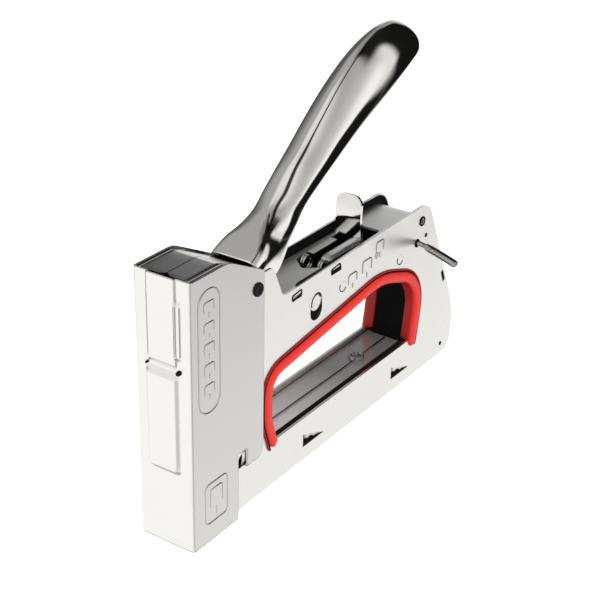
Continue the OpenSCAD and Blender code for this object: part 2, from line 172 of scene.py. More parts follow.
# painted shade: the cover floor dims towards the rear
MIRROR = new_material("cover_steel", (0.86, 0.85, 0.84), 0.14, 0.6, 0.04, 0.03, 900, (0.1, 1, 1), 0.03, 40,
                      ramp=(0, 0.10, 0.035, 0.3))
CHROME = new_material("handle_chrome", (0.84, 0.83, 0.81), 0.07, 1, 0.02, 0.025, 500, EVEN, 0.004, 25,
                      wave=0.02)
STEEL = new_material("ground_steel", (0.50, 0.50, 0.51), 0.34, 1, 0.10, 0.08, 900, (1, 0.15, 1), 0.08, 60)
WIRE = new_material("bright_wire", (0.72, 0.71, 0.69), 0.18, 1, 0.06, 0.05, 900, EVEN, 0.03, 80)
# painted reflection: darkened base colour for the dark reflections on the chrome release wire; the floor wire
# uses it too
DARK_WIRE = new_material("dark_wire", (0.40, 0.40, 0.40), 0.16, 1, 0.20, 0.08, 900, EVEN, 0.03, 80)
BLACK_STEEL = new_material("black_oxide", (0.006, 0.006, 0.007), 0.42, 0, 0.25, 0.10, 900, EVEN, 0.10, 90)
# painted shadow: black for the sheets, tubes and rings that stand for shade in gaps and hollows
SHADOW = new_material("painted_shadow", (0.006, 0.006, 0.006), 0.8, 0, 0.35, 0.1, 700, EVEN, 0.05, 60)
RED = new_material("red_lip", (0.44, 0.011, 0.007), 0.42, 0, 0.08, 0.06, 1500, EVEN, 0.08, 60)
# painted shade: darker copy of the lip red for the trim's inner wall
RED_WALL_SHADED = new_material("red_wall_painted_shade", (0.24, 0.006, 0.004), 0.42, 0, 0.10, 0.06, 1500, EVEN, 0.08, 60)
# painted shade: darker copy of the lip red for the trim's outer bead
RED_BEAD_SHADED = new_material("red_bead_painted_shade", (0.22, 0.006, 0.004), 0.45, 0, 0.12, 0.06, 1500, EVEN, 0.08, 60)
BLACK = new_material("black_liner", (0.003, 0.003, 0.003), 0.6, 0, 0.3, 0.08, 1200, EVEN, 0.08, 60)
RUBBER = new_material("bumper_rubber", (0.03, 0.03, 0.03), 0.7, 0, 0.2, 0.08, 1200, EVEN, 0.15, 60)
STAPLES = new_material("staple_metal", (0.62, 0.60, 0.55), 0.3, 1, 0.15, 0.08, 1600, (6, 0.1, 0.1), 0.25, 80)
STROKE = new_material("mark_grey", (0.52, 0.51, 0.50), 0.42, 1, 0.08, 0.06, 900, EVEN, 0.05, 60)

# the black surfaces hardly shine
for dull, level in ((BLACK, 0.04), (SHADOW, 0.02), (BLACK_STEEL, 0.10)):
    dull.node_tree.nodes["Principled BSDF"].inputs["Specular IOR Level"].default_value = level


# ---------------------------------------------------------------- mesh helpers

def add(name, verts, faces, material, body="housing", replaces=(), angle=35):
    """New piece from points in millimetres."""
    mesh = bpy.data.meshes.new(name)
    mesh.from_pydata([front_mm(*v) for v in verts], [], faces)
    bm = bmesh.new()
    bm.from_mesh(mesh)
    bmesh.ops.remove_doubles(bm, verts=bm.verts, dist=1e-7)
    bmesh.ops.recalc_face_normals(bm, faces=bm.faces)
    bm.to_mesh(mesh)
    bm.free()
    return place(name, mesh, material, body, replaces, angle)


def place(name, mesh, material, body, replaces=(), angle=35):
    mesh.polygons.foreach_set("use_smooth", [True] * len(mesh.polygons))
    mesh.set_sharp_from_angle(angle=math.radians(angle))
    mesh.materials.clear()
    mesh.materials.append(material)
    o = bpy.data.objects.new(name, mesh)
    bpy.context.scene.collection.objects.link(o)
    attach(o, body)
    if replaces:
        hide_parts(*replaces)
    return o


def thicken(o, thickness, offset=-1):
    """Gives a surface the thickness of its sheet, inward or outward."""
    sheet = o.modifiers.new("sheet", "SOLIDIFY")
    sheet.thickness = thickness / 1000
    sheet.offset = offset
    return o


def soften(o, width, segments=2):
    """Rounds the edges of a finished piece."""
    b = o.modifiers.new("edge", "BEVEL")
    b.width = width / 1000
    b.segments = segments
    b.limit_method = "ANGLE"
    b.angle_limit = math.radians(30)
    b.use_clamp_overlap = True
    return o


def refine(cad, material, bevel=0.25, segments=2, angle=40):
    """Copy of a CAD node with its flat faces merged and its edges rounded."""
    source = frame["nodes"][cad]
    mesh = source.data.copy()
    if mesh.has_custom_normals:
        mesh.attributes.remove(mesh.attributes["custom_normal"])
    bm = bmesh.new()
    bm.from_mesh(mesh)
    bmesh.ops.remove_doubles(bm, verts=bm.verts, dist=2e-6)
    bmesh.ops.dissolve_limit(bm, angle_limit=math.radians(1), verts=bm.verts, edges=bm.edges)
    bm.to_mesh(mesh)
    bm.free()
    bodies = frame["record"]["behaviour"]["bodies"]
    owner = next(b for b, nodes in bodies.items() if cad in nodes)
    o = place(cad + "_skin", mesh, material, owner, (cad,), angle)
    if bevel:
        soften(o, bevel, segments)
    return o


def grid(rows, wrap=False):
    """Vertices and quads of rows of points, closed into a tube where wrap is true."""
    n = len(rows[0])
    verts = [p for row in rows for p in row]
    faces = []
    for i in range(len(rows) - 1):
        for k in range(n if wrap else n - 1):
            a, b = i * n + k, i * n + (k + 1) % n
            faces.append((a, b, b + n, a + n))
    return verts, faces


def smooth_path(points, per=8, closed=False):
    """Catmull-Rom curve through points of any dimension."""
    p = [np.array(q, float) for q in points]
    n = len(p)
    out = []
    for i in range(n if closed else n - 1):
        a, b, c, d = (p[(i + k) % n] if closed else p[min(max(i + k, 0), n - 1)] for k in (-1, 0, 1, 2))
        for s in range(per):
            t = s / per
            out.append(0.5 * (2 * b + (c - a) * t + (2 * a - 5 * b + 4 * c - d) * t * t
                              + (3 * b - a - 3 * c + d) * t ** 3))
    if not closed:
        out.append(p[-1])
    return out


def tube_mesh(points, radius, sides=12, closed=False, flat=None):
    """Round tube along points, with domed ends; flat gives another half width across the path."""
    p = [np.array(q, float) for q in points]
    n = len(p)
    if np.isscalar(radius):
        radius = [radius] * n
    tangents = []
    for i in range(n):
        a, b = (p[(i - 1) % n], p[(i + 1) % n]) if closed else (p[max(i - 1, 0)], p[min(i + 1, n - 1)])
        v = b - a
        tangents.append(v / (np.linalg.norm(v) or 1))
    seed = np.array((0, 0, 1.0)) if abs(tangents[0][2]) < 0.9 else np.array((1.0, 0, 0))
    side = np.cross(tangents[0], seed)
    side /= np.linalg.norm(side)
    rows = []
    for i in range(n):
        side = side - tangents[i] * np.dot(side, tangents[i])
        side /= np.linalg.norm(side)
        up = np.cross(side, tangents[i])
        wide = flat[i] if flat else radius[i]
        rows.append([p[i] + side * math.cos(a) * wide + up * math.sin(a) * radius[i]
                     for a in (2 * math.pi * k / sides for k in range(sides))])
    if closed:
        rows.append(rows[0])
        return grid(rows, True)
    caps = []
    for end, sign in ((0, -1), (n - 1, 1)):
        ring = rows[end]
        dome = []
        for f in (0.35, 0.75, 0.99):
            k = math.sqrt(1 - f * f)
            dome.append([p[end] + (q - p[end]) * k + tangents[end] * sign * radius[end] * f for q in ring])
        caps.append(dome)
    rows = caps[0][::-1] + rows + caps[1]
    verts, faces = grid(rows, True)
    m = len(rows[0])
    faces.append(tuple(range(m)))
    faces.append(tuple(range(len(verts) - m, len(verts))))
    return verts, faces


def tube(name, points, radius, material, sides=12, closed=False, flat=None, **rest):
    verts, faces = tube_mesh(points, radius, sides, closed, flat)
    return add(name, verts, faces, material, angle=60, **rest)


def join(parts):
    verts, faces = [], []
    for v, f in parts:
        base = len(verts)
        verts += list(v)
        faces += [tuple(i + base for i in face) for face in f]
    return verts, faces


def plate(loops, y0, y1):
    """Flat sheet between y0 and y1 whose outline and holes are loops of [x, z]."""
    flat = [p for loop in loops for p in loop]
    triangles = tessellate_polygon([[Vector((x, z, 0)) for x, z in loop] for loop in loops])
    n = len(flat)
    verts = [(x, y0, z) for x, z in flat] + [(x, y1, z) for x, z in flat]
    faces = [tuple(t) for t in triangles] + [tuple(i + n for i in t[::-1]) for t in triangles]
    base = 0
    for loop in loops:
        m = len(loop)
        for i in range(m):
            a, b = base + i, base + (i + 1) % m
            faces.append((a, b, b + n, a + n))
        base += m
    return verts, faces


def rounded(corners, n=8):
    """Outline through corners (x, z, radius)."""
    out = []
    m = len(corners)
    for i in range(m):
        a, b, c = (np.array(corners[(i + k) % m][:2], float) for k in (-1, 0, 1))
        r = corners[i][2]
        if r <= 0:
            out.append(tuple(b))
            continue
        u, v = (a - b) / np.linalg.norm(a - b), (c - b) / np.linalg.norm(c - b)
        half = math.acos(max(-1, min(1, float(u @ v)))) / 2
        w = (u + v) / np.linalg.norm(u + v)
        centre = b + w * r / math.sin(half)
        p, q = b + u * r / math.tan(half) - centre, b + v * r / math.tan(half) - centre
        start = math.atan2(p[1], p[0])
        turn = (math.atan2(q[1], q[0]) - start + math.pi) % (2 * math.pi) - math.pi
        for k in range(n + 1):
            a2 = start + turn * k / n
            out.append((centre[0] + r * math.cos(a2), centre[1] + r * math.sin(a2)))
    return out


def resample(points, step):
    p = np.array(points, float)
    seg = np.linalg.norm(np.diff(p, axis=0), axis=1)
    s = np.concatenate([[0], np.cumsum(seg)])
    n = max(int(round(s[-1] / step)), 2)
    at = np.linspace(0, s[-1], n + 1)
    return np.stack([np.interp(at, s, p[:, k]) for k in range(p.shape[1])], 1)


def ring_arc(centre, y, radius, start, end, steps=24):
    """Arc in a plane of constant y, from start to end in degrees."""
    turns = [math.radians(a) for a in np.linspace(start, end, steps)]
    return [(centre[0] + radius * math.cos(a), y, centre[1] + radius * math.sin(a)) for a in turns]


# ---------------------------------------------------------------- sizes from the frame

def side_of(name, axis, high):
    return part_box(name)[1 if high else 0][axis] * 1000


def middle_of(name, axis):
    return (side_of(name, axis, False) + side_of(name, axis, True)) / 2


HALF_W = side_of("nose_cover", 1, True)
PLATE_OUT = side_of("side_plate_right", 1, True)
PLATE_IN = side_of("side_plate_right", 1, False)
NOSE_H = side_of("nose_cover", 2, True)
FLOOR_TOP = side_of("magazine_cover", 2, True)
FLAP_RISE = 1.1
FLAP_TOP = side_of("top_flap_right", 2, True) + FLAP_RISE
STRAP_TOP = side_of("top_strap", 2, True)
PIVOT = (middle_of("pivot_bolt", 0) - FRONT, middle_of("pivot_bolt", 2))
CROSS_PIN = (middle_of("slot_pin", 0) - FRONT, middle_of("slot_pin", 2))

OPENING_BENDS = [(42.6, 32.7, 24), (42.6, 55.2, 12.5), (125.9, 65.8, 44), (162.6, 53.1, 21.5)]


def opening_path(front_end, rear_end):
    """Edge of the finger opening between two ends [x, z] at the floor."""
    return rounded([(*front_end, 0), *OPENING_BENDS, (*rear_end, 0)], 14)


def offset_path(points, g):
    """Open path moved to its outer side by g (the opening's outside is positive)."""
    p = np.array(points, float)
    t = np.gradient(p, axis=0)
    t /= np.linalg.norm(t, axis=1)[:, None]
    return p + np.stack([-t[:, 1], t[:, 0]], 1) * g


# ---------------------------------------------------------------- kept CAD shapes

FALL = 1.8
FALL_START, FALL_END = 140, 54
FALL_FADE = 4
PLATE_EDGE, STRAP_EDGE = 80.6, 79.2     # only the points above these heights are lowered


def fall_at(x):
    """How far the top of the body lies lower than in the CAD, growing towards the nose."""
    return FALL * (FALL_START - x) / (FALL_START - FALL_END)


def lower_front(o, floor):
    """Lowers the points of the upper edge above the height floor."""
    end = FALL_END - FALL_FADE
    for v in o.data.vertices:
        x = v.co.x * 1000 - FRONT
        if v.co.z * 1000 > floor and end < x < FALL_START:
            v.co.z -= fall_at(x) / 1000 * min((x - end) / FALL_FADE, 1)


for name in ("side_plate_left", "side_plate_right"):
    lower_front(refine(name, NICKEL, 0.22), PLATE_EDGE)
lower_front(refine("top_strap", STRAP, 0.25), STRAP_EDGE)
for name, material, edge in (
        ("nose_foot", STEEL, 0.3), ("grip_liner", BLACK, 0.2), ("magazine_cover", MIRROR, 0.2),
        ("driver_guide", STEEL, 0.15), ("pivot_nut", BLACK_STEEL, 0.25), ("frame_studs", NICKEL, 0.15),
        ("small_rivets", BLACK_STEEL, 0.15), ("hollow_rivet", STEEL, 0.12), ("shock_plate", STEEL, 0.2),
        ("bumper", RUBBER, 0.4), ("spring_cap", STEEL, 0.2), ("latch_pin", STEEL, 0.15),
        ("handle_lever", STEEL, 0.2), ("hammer", STEEL, 0.3), ("driver_blade", STEEL, 0.1),
        ("lift_rollers", STEEL, 0.2), ("slot_pin", NICKEL, 0.3), ("slot_pin_washers", STEEL, 0.15),
        ("lock_latch", CHROME, 0.35), ("magazine_channel", NICKEL, 0.15), ("magazine_rail", STEEL, 0.15),
        ("magazine_end_cap", BLACK_STEEL, 0.5), ("guide_rod", WIRE, 0.2), ("staple_strip", STAPLES, 0.1),
        ("pusher", STEEL, 0.2)):
    refine(name, material, edge, 3 if name in ("lock_latch", "magazine_end_cap") else 2)
for spring in ("drive_spring", "latch_spring", "pusher_spring"):
    refine(spring, WIRE, 0, angle=60)


# ---------------------------------------------------------------- nose skin

def step(value, low, high):
    t = min(max((value - low) / (high - low), 0), 1)
    return t * t * (3 - 2 * t)


def nose_relief(y, z):
    """How far the front wall stands out at the height z, y from the middle."""
    a = abs(y)
    lower = step(7.8 - a, 0, 2.3) * step(z, 31, 33.4) * (1 - step(z, 70.6, 72.4))
    corner = math.hypot(max(a - 4.2, 0), max(35 - z, 0))
    lower *= 1 - step(corner, 2.2, 4.4) if z < 35 else 1
    tongue = (1 - step(a, 4.9, 6.0) * 0.12) * step(z, 74.4, 76.6) if a < 6.2 else 0
    line = 0
    if 1.4 < z < 22.2 and a < 8:
        inside = min(7.25 - a, z - 2, 21.5 - z)
        line = 0.16 * max(0, 1 - abs(inside) / 0.35)
    bulge = step(a, 6.0, 6.6) * (1 - step(a, 7.9, 8.5)) * step(z, 77.5, 80) * (1 - step(z, 98.5, 101))
    line -= 0.7 * bulge if y < 0 else 0
    groove = 0.25 * step(7.9 - a, 0, 1.2) * max(0, 1 - abs(z - 73.4) / 0.9)
    return 1.6 * lower + 0.8 * tongue - line - groove


CORNER_R = 1.6                      # bend from the front wall into the cheeks
SEAM = 42.3                         # rear edge of the cheeks
FOOT = 26.7                         # rear edge of the part below the sill
SILL, SILL_R = 20.8, 4              # lower edge of the cheeks and its rounding at the seam
NOTCH_TOP, NOTCH_LEN = 28.6, 5.2    # notch above the sill, right behind the foot
SLIT_IN, SLIT_OUT = 5.9, 6.12       # slits beside the tongue, from the middle
SLIT_FOOT = 77.0
KNEE_START, KNEE_END, KNEE_DROP = 19.6, 23.5, 0.975
SEAM_TOP = 98                       # height of the cheeks at the seam
NOSE_SHEET = 0.8


def cheek_top(x):
    """Upper edge of the cheeks: level, then a soft knee, then straight down to the seam."""
    if x <= KNEE_START:
        return NOSE_H
    if x < KNEE_END:
        return NOSE_H - KNEE_DROP * ((x - KNEE_START) / (KNEE_END - KNEE_START)) ** 2
    after_knee = NOSE_H - KNEE_DROP
    return after_knee - (x - KNEE_END) * (after_knee - SEAM_TOP) / (SEAM - KNEE_END)


def cheek_sill(x):
    """Lower edge of the cheeks, rounded up at the seam."""
    if x <= SEAM - SILL_R:
        return SILL
    return SILL + SILL_R - math.sqrt(max(SILL_R ** 2 - (x - SEAM + SILL_R) ** 2, 0))


def nose_columns():
    """Columns of the sheet from seam to seam: (x, y, whether it lies in the front wall)."""
    flat_end = HALF_W - CORNER_R
    flat = [round(y, 3) for y in np.arange(-flat_end, flat_end + 0.01, 0.42)]
    flat = sorted(set(flat + [-SLIT_IN, SLIT_IN, -SLIT_OUT, SLIT_OUT, flat_end]))
    bend = []
    for k in range(1, 9):
        a = math.pi / 2 * k / 9
        bend.append((CORNER_R - CORNER_R * math.cos(a), flat_end + CORNER_R * math.sin(a), False))
    cheek_x = [CORNER_R + 0.01, *np.arange(3.5, FOOT - 0.5, 2.2)]
    cheek_x += [FOOT + d for d in (-0.45, 0, 1.2, 3, NOTCH_LEN)]
    cheek_x += [*np.arange(FOOT + 7, SEAM - 4.1, 2.2)]
    cheek_x += [SEAM - d for d in (4, 3, 2, 1.2, 0.6, 0.25, 0)]
    right = bend + [(x, HALF_W, False) for x in cheek_x]
    return [(x, -y, front) for x, y, front in right[::-1]] + [(0, y, True) for y in flat] + right


def nose_rows():
    """Rows of the sheet from the foot up: (whether it lies above the sill, z)."""
    low = [*np.arange(0, SILL, 0.5), SILL - 0.01]
    high = sorted(set([round(z, 3) for z in np.arange(SILL, NOSE_H, 0.5)] + [SLIT_FOOT, 101.0, NOSE_H]))
    return [(False, z) for z in low] + [(True, z) for z in high]


def nose_point(column, row):
    """Point of the sheet, or None behind the foot below the sill."""
    x, y, front = column
    above_sill, z = row
    if not above_sill and x > FOOT:
        return None
    if above_sill and z > 90:
        z += (cheek_top(x) - NOSE_H) * (z - 90) / (NOSE_H - 90)
    if above_sill and z < 60:
        z += (cheek_sill(x) - SILL) * (60 - z) / (60 - SILL)
    if front:
        gap = (0.5 if y < 0 else 0.08) * step(z, SLIT_FOOT, 79) * (1 - step(z, 99.5, 101.5))
        if 6.05 < abs(y) < 6.2 and z > SLIT_FOOT - 0.1:
            y = math.copysign(6.02 + gap, y)
        x -= nose_relief(y, z)
    return x, y, z


def is_open(a, b, low, high):
    """Whether the sheet has no metal between the columns a and b and the rows low and high."""
    slit = a[2] and b[2] and SLIT_IN < abs(a[1] + b[1]) / 2 < SLIT_OUT and low[1] >= SLIT_FOOT
    behind_foot = not low[0] and high[0] and max(a[0], b[0]) > FOOT
    notch = low[0] and low[1] < NOTCH_TOP and FOOT < (a[0] + b[0]) / 2 < FOOT + NOTCH_LEN
    return slit or behind_foot or notch


def nose_skin():
    columns, rows = nose_columns(), nose_rows()
    verts, faces, index = [], [], {}
    for j in range(len(rows) - 1):
        for i in range(len(columns) - 1):
            keys = [(i, j), (i + 1, j), (i + 1, j + 1), (i, j + 1)]
            corners = [nose_point(columns[a], rows[b]) for a, b in keys]
            if None in corners or is_open(columns[i], columns[i + 1], rows[j], rows[j + 1]):
                continue
            for key, corner in zip(keys, corners):
                if key not in index:
                    index[key] = len(verts)
                    verts.append(corner)
            faces.append(tuple(index[key] for key in keys))
    o = add("nose_skin", verts, faces, NOSE, replaces=("nose_cover",), angle=50)
    # painted shade: the faces that look sideways take the darker cheek copy of the nickel
    o.data.materials.append(CHEEK_SHADED)
    for face in o.data.polygons:
        if abs(face.normal.y) > 0.8:
            face.material_index = 1
    thicken(o, NOSE_SHEET)


nose_skin()
for side in (NEAR, FAR):
    # painted shade: dark tubes for the shaded ends of the groove across the front, the near one larger
    size = 0.95 if side == NEAR else 0.45
    tube("groove_hole_shade_%d" % (side + 1), [(-0.35, side * 7.1, 73.3), (0.5, side * 7.1, 73.3)], size, SHADOW)


# ---------------------------------------------------------------- flaps on the nose

FLAP_SHEET = 1.1


def flap(side, word):
    """Bent sheet on the nose from the middle to the cheek; the near one is a little narrower."""
    wide = 0.88 if side == NEAR else 1.0
    section = [(y * wide, drop) for y, drop in (
        (0.2, 0), (0.6, 0), (3, 0), (6, 0), (9.0, 0), (9.5, -0.05), (9.9, -0.22), (10.25, -0.55),
        (10.45, -1.0), (10.5, -1.6), (10.5, -2.6))]
    spine = [(2, FLAP_TOP), (4, FLAP_TOP), (8, FLAP_TOP), (14, FLAP_TOP), (18.5, FLAP_TOP - 0.03),
             (20.2, FLAP_TOP - 0.25), (22, FLAP_TOP - 0.95), (26, FLAP_TOP - 2.9), (31, FLAP_TOP - 5.4),
             (36, FLAP_TOP - 7.9)]
    rows = []
    for i, (x, z) in enumerate(spine):
        row = []
        for y, drop in section:
            lead = 1.6 * max(0, 1 - y / 2.2) if i == 0 else 0
            row.append((x + lead, side * y, z + drop))
        rows.append(row)
    verts, faces = grid(rows)
    o = add("nose_flap_" + word, verts, faces, FLAP, replaces=("top_flap_" + word,), angle=60)
    thicken(o, FLAP_SHEET, -1 if o.data.polygons[0].normal.z > 0 else 1)
    soften(o, 0.2)
    # the part that slopes down to the rear takes the bright nickel as a painted highlight
    o.data.materials.append(NICKEL)
    for face in o.data.polygons:
        if abs(face.normal.x) > 0.12 and abs(face.normal.y) < 0.5:
            face.material_index = 1


for side, word in SIDES:
    flap(side, word)
# painted shade: dark sheets under the flaps and behind the slits
verts, faces = grid([[(x, y, z) for y in (-11.6, 0, 11.6)] for x, z in ((1, 104.6), (19, 104.6), (38, 95.6))])
add("nose_shade_sheet", verts, faces, SHADOW, angle=20)
strips = [grid([[(0.03, side * y, z) for y in (5.6, 6.3)] for z in (77.2, 108)]) for side in (NEAR, FAR)]
add("slit_shade_sheet", *join(strips), SHADOW, angle=20)


# ---------------------------------------------------------------- painted shade sheets inside the plates

PLATE = rounded([(2.5, 5, 0.5), (2.5, 103.8, 0), (20.2, 103.8, 0), (33, 97, 0), (40, 88, 2), (50, 81, 3),
                 (62, 81, 3), (66, 83.2, 3), (163.0, 83.4, 9.6), (188.4, 28.4, 14), (190.5, 18, 8),
                 (189.6, 5, 6)])
HOLE_FOOT = 18.9
OPENING = opening_path((46.4, 18.6), (157.2, 18.6))
edge = [tuple(p) for p in offset_path(resample(OPENING, 2), -2.2)]
HOLE = [(edge[0][0], HOLE_FOOT)] + [p for p in edge if p[1] > HOLE_FOOT + 0.1] + [(edge[-1][0], HOLE_FOOT)]
for side, word in SIDES:
    # painted shade: black sheets just inside the plates, seen through the openings
    y = side * (PLATE_IN - 0.12)
    verts, faces = plate([PLATE, HOLE], y - 0.05, y + 0.05)
    add("inside_" + word, verts, faces, SHADOW, angle=20)


# ---------------------------------------------------------------- soft trims

# sections as (outward offset from the opening's edge, height above the plate)
LIP_PROFILE = [(-0.95, 0.0), (-0.95, 0.45), (-1.15, 0.9), (-1.7, 1.2), (-2.6, 1.32), (-3.6, 1.32),
               (-4.5, 1.2), (-5.1, 0.92), (-5.42, 0.5), (-5.5, 0.0), (-5.5, -0.6), (-3.9, -0.6),
               (-3.9, -0.02)]
WALL_PROFILE = [(-5.5, -0.5), (-5.62, -1.2), (-5.66, -2.6), (-5.62, -4.2), (-5.3, -4.45), (-4.2, -4.45),
                (-3.9, -4.2), (-3.9, -0.5)]
BEAD_PROFILE = [(0.5, 0.0), (0.55, 0.35), (0.35, 0.62), (0.1, 0.62), (-0.2, 0.35), (-0.25, 0.0)]


def sweep(path, profile, side, shrink=1.6):
    """Profile carried along the opening's edge, shrinking within the length shrink of both ends."""
    p = resample(path, 1.6)
    n = len(p)
    middle = np.mean(np.array(profile), axis=0)
    s = np.concatenate([[0], np.cumsum(np.linalg.norm(np.diff(p, axis=0), axis=1))])
    rows = []
    for i in range(n):
        near_end = min(s[i], s[-1] - s[i])
        k = 1.0 if near_end >= shrink else 0.35 + 0.65 * math.sqrt(max(0, 1 - (1 - near_end / shrink) ** 2))
        row = []
        for g, h in profile:
            g2, h2 = middle[0] + (g - middle[0]) * k, max(middle[1], 0) * (1 - k) + h * k
            q = offset_path(p, g2)[i]
            row.append((q[0], side * (PLATE_OUT + h2), q[1]))
        rows.append(row)
    verts, faces = grid(rows, True)
    m = len(profile)
    faces.append(tuple(range(m)))
    faces.append(tuple(range(len(verts) - m, len(verts))))
    return verts, faces


LIP_PATH = opening_path((47.2, 19.4), (157.1, 18.7))
WALL_PATH = opening_path((46.2, 20.6), (157.4, 20.6))
for side, word in SIDES:
    verts, faces = sweep(LIP_PATH, LIP_PROFILE, side)
    add("trim_lip_" + word, verts, faces, RED, replaces=("grip_trim_" + word,), angle=50)
    # painted shade: the inner wall takes the darker copy of the red
    verts, faces = sweep(WALL_PATH, WALL_PROFILE, side, shrink=0.5)
    add("trim_wall_" + word, verts, faces, RED_WALL_SHADED, angle=50)
    # painted shade: the bead takes the darker copy of the red
    verts, faces = sweep(LIP_PATH, BEAD_PROFILE, side)
    add("trim_bead_" + word, verts, faces, RED_BEAD_SHADED, angle=50)
    # painted shade: dark tube in the groove between the lip and the bead
    groove = offset_path(resample(LIP_PATH, 1.6), -0.62)
    tube("trim_groove_shade_" + word, [(x, side * (PLATE_OUT + 0.12), z) for x, z in groove], 0.38, SHADOW, sides=8)


# ---------------------------------------------------------------- handle

# (crest x, crest z, lower edge x, lower edge z, half width, box exponent, share of the ridged section)
STATIONS = [
    (39.6, 99.6, 44.5, 90.5, 10.1, 6, 0), (44, 102.1, 49.5, 91.5, 10.0, 6, 0),
    (48.2, 104.7, 54, 93.3, 9.6, 6, 0.15), (52.5, 107.1, 57.8, 96.5, 9.0, 5, 0.38),
    (57, 109.6, 62, 101.2, 8.5, 4, 0.62), (62, 112.5, 66.6, 105.8, 8.2, 3.5, 0.84),
    (68, 117, 72.3, 112, 8.2, 3.2, 0.97), (76, 124, 81, 117.8, 8.6, 3, 1),
    (84, 130.3, 90, 123.4, 9.1, 2.8, 1), (95, 139.6, 102, 130.9, 9.9, 2.6, 1),
    (106, 148.5, 114.5, 137.6, 10.5, 2.5, 1), (118, 156.5, 126, 142.9, 10.6, 2.5, 1),
    (130, 161.5, 134.5, 146.8, 10.4, 2.5, 1), (140, 163.4, 142.5, 149.8, 9.6, 2.5, 0.9),
    (147, 162.6, 148, 151.4, 8.6, 2.5, 0.6), (151.5, 160, 152, 152.8, 7.2, 2.4, 0.3),
    (153.8, 157.2, 153.6, 154.3, 5.6, 2.2, 0),
]
# half section of the ridged part as (length, tilt at its start, tilt at its end), in degrees:
# flange, two steps of the tight bend, broad side, ridge, crest
RIDGE_PARTS = ((1.3, 0, 3), (0.3, 3, 10), (2.9, 10, 18), (0.8, 18, 30), (8.0, 30, 60), (1.3, 60, 90))
HANDLE_SHEET = 1.2
LINING_SHEET = 0.3
LINING_FRONT = 42.2


def ridge_profile():
    """Whole section in shares of its half width and height, from one lower edge to the other."""
    y, h = 0.0, 0.0
    out = [(0.0, 0.0)]
    for length, a, b in RIDGE_PARTS:
        for k in range(12):
            tilt = math.radians(a + (b - a) * (k + 0.5) / 12)
            y += math.sin(tilt) * length / 12
            h += math.cos(tilt) * length / 12
            out.append((y, h))
    half = [(1 - a / y, b / h) for a, b in out]
    return np.array([(-a, b) for a, b in half] + [(a, b) for a, b in half[-2::-1]])


RIDGED = ridge_profile()


def spread(y, h, wide, high, count):
    """Section given in unit shares, as count points evenly spaced along its real length."""
    d = np.concatenate([[0], np.cumsum(np.hypot(np.diff(y) * wide, np.diff(h) * high))])
    at = np.linspace(0, d[-1], count)
    return np.interp(at, d, y), np.interp(at, d, h)


def handle_section(station, count=61):
    """Row of points across the handle, blended from a rounded box and the ridged section."""
    cx, cz, lx, lz, w, n, ridged = station
    high = math.hypot(cx - lx, cz - lz)
    t = np.linspace(0, math.pi, 400)
    box_y = -np.sign(np.cos(t)) * np.abs(np.cos(t)) ** (2 / n)
    box_h = np.abs(np.sin(t)) ** (2 / n)
    y, h = spread(box_y, box_h, w, high, count)
    y2, h2 = spread(RIDGED[:, 0], RIDGED[:, 1], w, high, count)
    y, h = y + (y2 - y) * ridged, h + (h2 - h) * ridged
    return [(lx + (cx - lx) * b, a * w, lz + (cz - lz) * b) for a, b in zip(y, h)]


def handle():
    stations = smooth_path(STATIONS, 5)
    rows = [handle_section(s) for s in stations]
    verts, faces = grid(rows)
    o = add("handle_skin", verts, faces, CHROME, body="handle", replaces=("handle_shell",), angle=60)
    middle = o.data.polygons[len(o.data.polygons) // 2]
    thicken(o, HANDLE_SHEET, -1 if middle.normal.z > 0 else 1)
    smooth = o.modifiers.new("smooth", "SUBSURF")
    smooth.levels = smooth.render_levels = 1
    # painted shade: dark sheet across the open underside, turned up at the front, for the shaded inside of
    # the handle
    lining = []
    for cx, cz, lx, lz, w, *_ in stations[1:28]:
        x, z = lx + (cx - lx) * 0.12, lz + (cz - lz) * 0.12
        lining.append([(x, y, z) for y in np.linspace(-w + 1.3, w - 1.3, 7)])
    lining.insert(0, [(LINING_FRONT, y * 0.97, z + 6.6) for x, y, z in lining[0]])
    thicken(add("handle_shade_sheet", *grid(lining), SHADOW, body="handle", angle=60), LINING_SHEET)
    # rolled lower edges
    for side, word in SIDES:
        k = 0 if side == NEAR else -1
        hem = [(x, y - side * 0.15, z) for x, y, z in (row[k] for row in rows[4:-4])]
        tube("handle_hem_" + word, hem, 0.75, CHROME, body="handle")


handle()


# ---------------------------------------------------------------- wires

def coil(centre, radius, low, high, turns, steps=28):
    """Helix around a vertical line through centre (x, y)."""
    n = int(turns * steps)
    points = []
    for i in range(n + 1):
        a = 2 * math.pi * i / steps
        z = low + (high - low) * i / n
        points.append((centre[0] + radius * math.cos(a), centre[1] + radius * math.sin(a), z))
    return points


# painted shade: dark strip in the gap along the near side of the floor, and the wire with its coil on the
# floor
verts, faces = grid([[(x, y, FLOOR_TOP + 0.12) for y in (-11.7, -6.2)] for x in (44, 80, 120, 160)])
add("floor_gap_shade", verts, faces, SHADOW, angle=60)
wire_z = FLOOR_TOP + 0.45
parts = [tube_mesh([(x, 0, wire_z) for x in (52, 90, 124.9)], 0.4, 10),
         tube_mesh([(x, 0, wire_z) for x in (131.1, 140, 151)], 0.4, 10),
         tube_mesh(coil((128, 0), 2.9, FLOOR_TOP + 0.5, FLOOR_TOP + 1.7, 2), 0.45, 10)]
add("floor_wire", *join(parts), DARK_WIRE, replaces=("retainer_spring",), angle=60)

